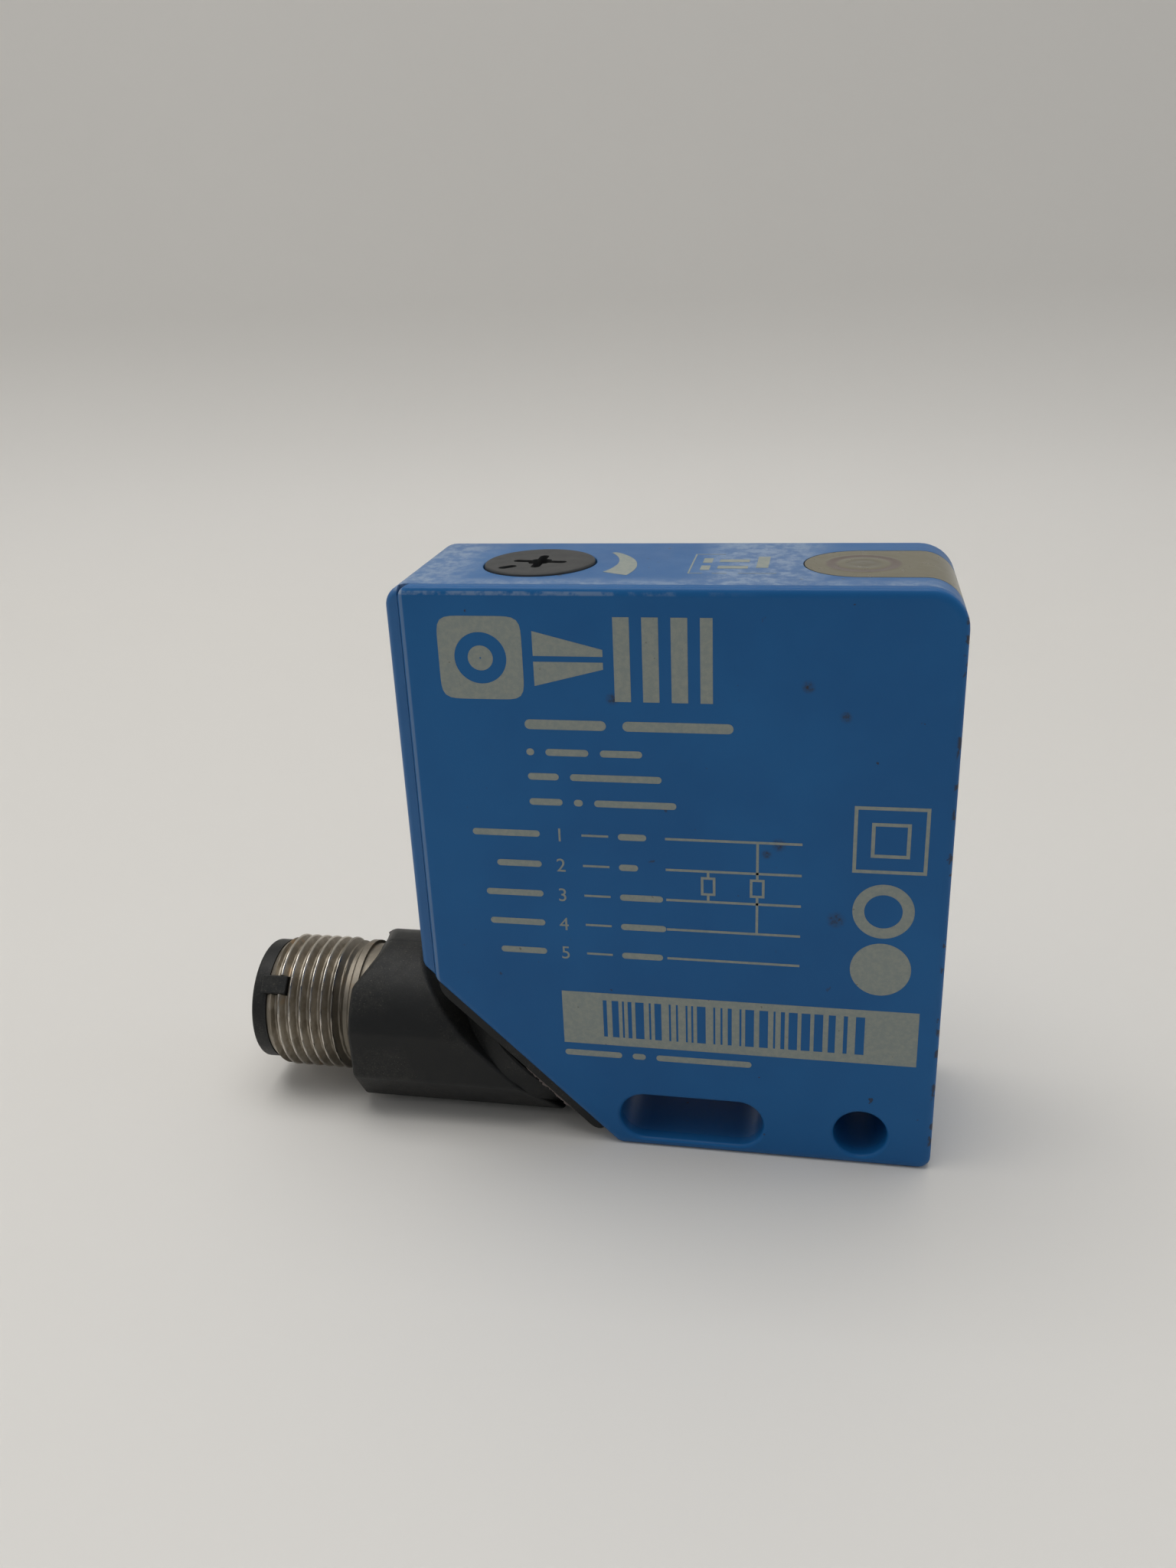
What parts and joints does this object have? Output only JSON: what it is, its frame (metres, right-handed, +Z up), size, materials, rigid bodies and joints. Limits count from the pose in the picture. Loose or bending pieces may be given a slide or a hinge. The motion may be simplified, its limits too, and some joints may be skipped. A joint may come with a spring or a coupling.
{
  "type": "photoelectric contrast sensor",
  "caption": "Flat metal-housed photoelectric contrast sensor with a threshold dial, display window, side lens and swivelling M12 plug.",
  "frame": {"origin": "centre of the housing's bottom face, halfway along its 42 mm and 15.6 mm sides", "axes": "+X towards the optics side, away from the plug; +Y towards the back, away from the printed cover; +Z up towards the dial and window"},
  "size_m": [0.0595, 0.0156, 0.0488],
  "materials": {
    "blue_enamel": "semi-gloss blue enamel on a zinc casting, worn thin along the edges",
    "black_plastic": "fine spark-eroded grain",
    "rubber_seal": "matt black nitrile",
    "amber_window": "translucent olive-yellow polycarbonate",
    "clear_plastic": "clear polished acrylic",
    "nickel_plated_brass": "nickel plated, lightly worn on the crests",
    "gold_plated_brass": "gold plated contacts",
    "spring_steel": "bright stamped spring steel",
    "circuit_board": "green solder mask",
    "chip_plastic": "moulded chip body",
    "capacitor_can": "drawn can",
    "pale_plastic": "moulded potentiometer body",
    "lead_grey": "PVC insulation",
    "lead_brown": "PVC insulation",
    "lead_white": "PVC insulation",
    "lead_blue": "PVC insulation",
    "lead_black": "PVC insulation"
  },
  "bodies": {
    "housing": {"housing_shell": "blue_enamel", "front_cover": "blue_enamel", "cover_gasket": "rubber_seal", "display_window": "amber_window", "window_gasket": "rubber_seal", "light_guide": "clear_plastic", "lens_ring": "black_plastic", "objective_lens": "clear_plastic", "lens_oring": "rubber_seal", "optics_block": "black_plastic", "beam_splitter": "clear_plastic", "condenser_lens": "clear_plastic", "emitter_led": "clear_plastic", "emitter_board": "circuit_board", "aperture_plate": "spring_steel", "receiver_photodiode": "chip_plastic", "receiver_board": "circuit_board", "main_circuit_board": "circuit_board", "microcontroller": "chip_plastic", "signal_amplifier": "chip_plastic", "switching_output": "chip_plastic", "voltage_regulator": "chip_plastic", "capacitor_1": "capacitor_can", "capacitor_2": "capacitor_can", "display_board": "circuit_board", "indicator_led_1": "clear_plastic", "indicator_led_2": "clear_plastic", "dial_oring": "rubber_seal", "potentiometer_body": "pale_plastic", "swivel_flange": "black_plastic", "wave_washer": "spring_steel", "connector_board": "circuit_board"},
    "dial": {"threshold_dial": "black_plastic", "potentiometer_rotor": "pale_plastic"},
    "plug_elbow": {"elbow_body": "black_plastic", "threaded_sleeve": "nickel_plated_brass", "contact_insert": "black_plastic", "swivel_oring": "rubber_seal", "swivel_retaining_ring": "spring_steel", "contact_pin_1": "gold_plated_brass", "contact_pin_2": "gold_plated_brass", "contact_pin_3": "gold_plated_brass", "contact_pin_4": "gold_plated_brass", "contact_pin_5": "gold_plated_brass", "lead_1": "lead_grey", "lead_2": "lead_brown", "lead_3": "lead_white", "lead_4": "lead_blue", "lead_5": "lead_black"}
  },
  "joints": [
    {"name": "plug_swivel", "type": "hinge", "parent": "housing", "child": "plug_elbow", "pos_m": [-0.01235, 0, 0.00755], "axis": [0.7071, 0, 0.7071], "range_deg": [0, 180]},
    {"name": "threshold_turn", "type": "hinge", "parent": "housing", "child": "dial", "pos_m": [-0.0107, 0, 0.0485], "axis": [0, 0, 1], "range_deg": [-265, 5]}
  ]
}
